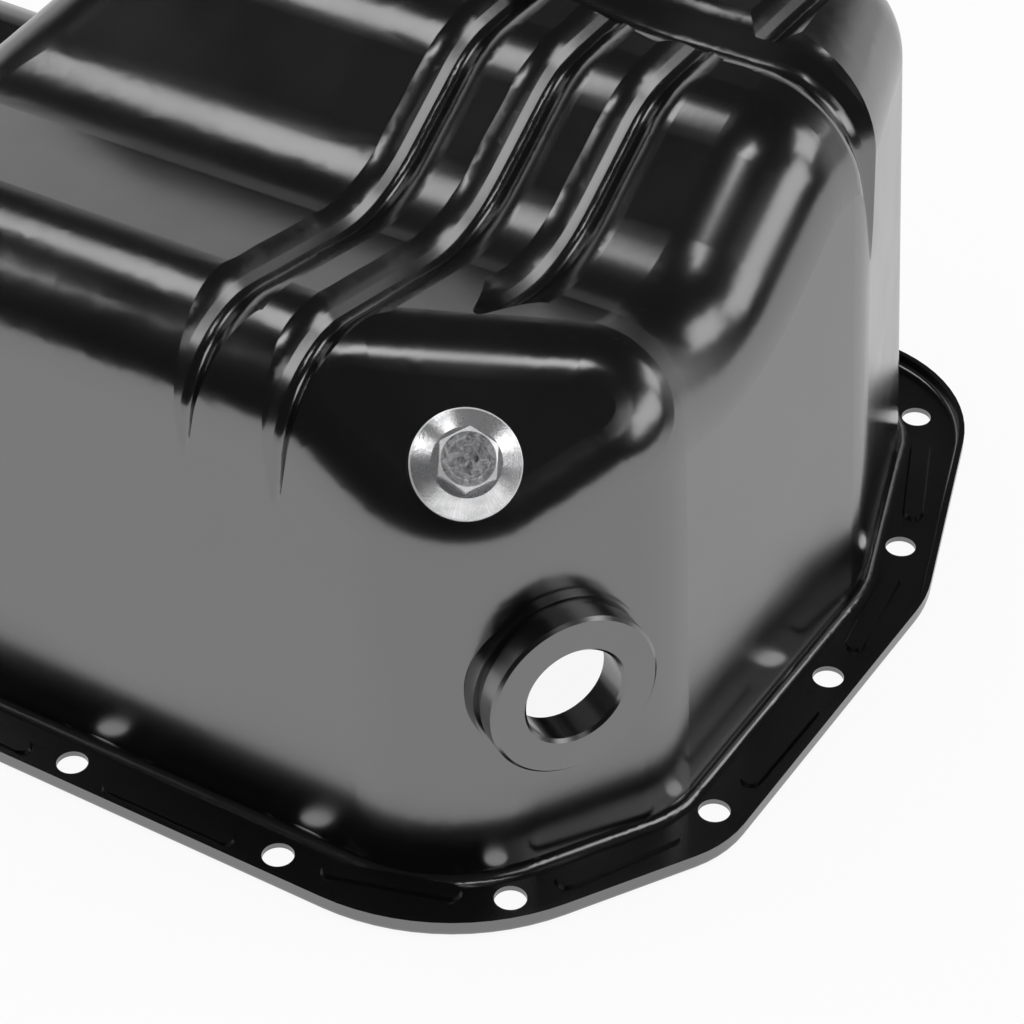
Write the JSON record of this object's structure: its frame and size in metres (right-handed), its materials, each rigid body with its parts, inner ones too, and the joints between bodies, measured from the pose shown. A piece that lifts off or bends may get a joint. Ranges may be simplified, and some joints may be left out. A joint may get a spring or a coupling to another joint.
{
  "type": "engine oil pan",
  "caption": "Pressed steel oil pan with a deep grooved sump, a turned-up bolt flange, a hexagon drain plug and a welded port collar.",
  "frame": {"origin": "Middle of the flange outline, in the plane of the gasket face", "axes": "+X towards the deep end, +Y across to the far side, +Z from the gasket face to the sump floor"},
  "size_m": [0.4, 0.266, 0.1529],
  "materials": {
    "pan_paint": "gloss",
    "collar_paint": "gloss",
    "plug_zinc": "satin",
    "washer_metal": "satin",
    "bung_paint": "gloss"
  },
  "bodies": {
    "root": {"pan_shell": "pan_paint", "port_collar": "collar_paint", "drain_plug": "plug_zinc", "drain_washer": "washer_metal", "drain_bung": "bung_paint"}
  },
  "joints": []
}
